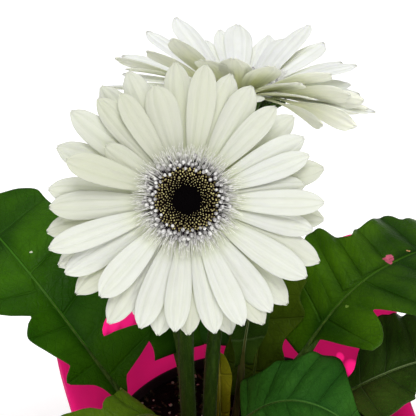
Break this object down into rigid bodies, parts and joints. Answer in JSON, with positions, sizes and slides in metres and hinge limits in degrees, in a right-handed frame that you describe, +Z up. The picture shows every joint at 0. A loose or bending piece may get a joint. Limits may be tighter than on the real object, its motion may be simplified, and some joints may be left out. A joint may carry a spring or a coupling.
{
  "type": "potted gerbera",
  "caption": "White daisy-like gerbera blooms on leafless stems above a rosette of lobed leaves, in a black nursery pot inside a flared magenta pot cover.",
  "frame": {"origin": "centre of the flat underside of the pot cover, on the surface it stands on", "axes": "+Z up, -Y towards the side that the front bloom faces, +X to the right seen from that side"},
  "size_m": [0.2423, 0.2484, 0.295],
  "materials": {
    "cover": "smooth, slightly glossy magenta",
    "nursery": "matt black",
    "soil": "crumbly dark brown",
    "petals": "soft, finely grooved cream white",
    "eye": "dark, densely studded with small florets",
    "stem": "downy green",
    "leaf": "soft satin green with raised veins",
    "leaf_dark": "soft satin dark green",
    "leaf_pale": "soft yellowish green"
  },
  "bodies": {
    "root": {"pot_cover": "cover", "nursery_pot": "nursery", "soil": "soil", "leaf_left": "leaf", "leaf_right": "leaf", "leaf_low_right": "leaf_dark", "leaf_front_right": "leaf", "leaf_front_left": "leaf", "leaf_middle": "leaf_dark", "leaf_young": "leaf_pale", "leaf_middle_right": "leaf", "leaf_back_left": "leaf", "leaf_back": "leaf", "leaf_near_left": "leaf", "leaf_near": "leaf", "leaf_near_right": "leaf", "petals_front": "petals", "eye_front": "eye", "stem_front": "stem", "petals_rear": "petals", "eye_rear": "eye", "stem_rear": "stem"}
  },
  "joints": []
}
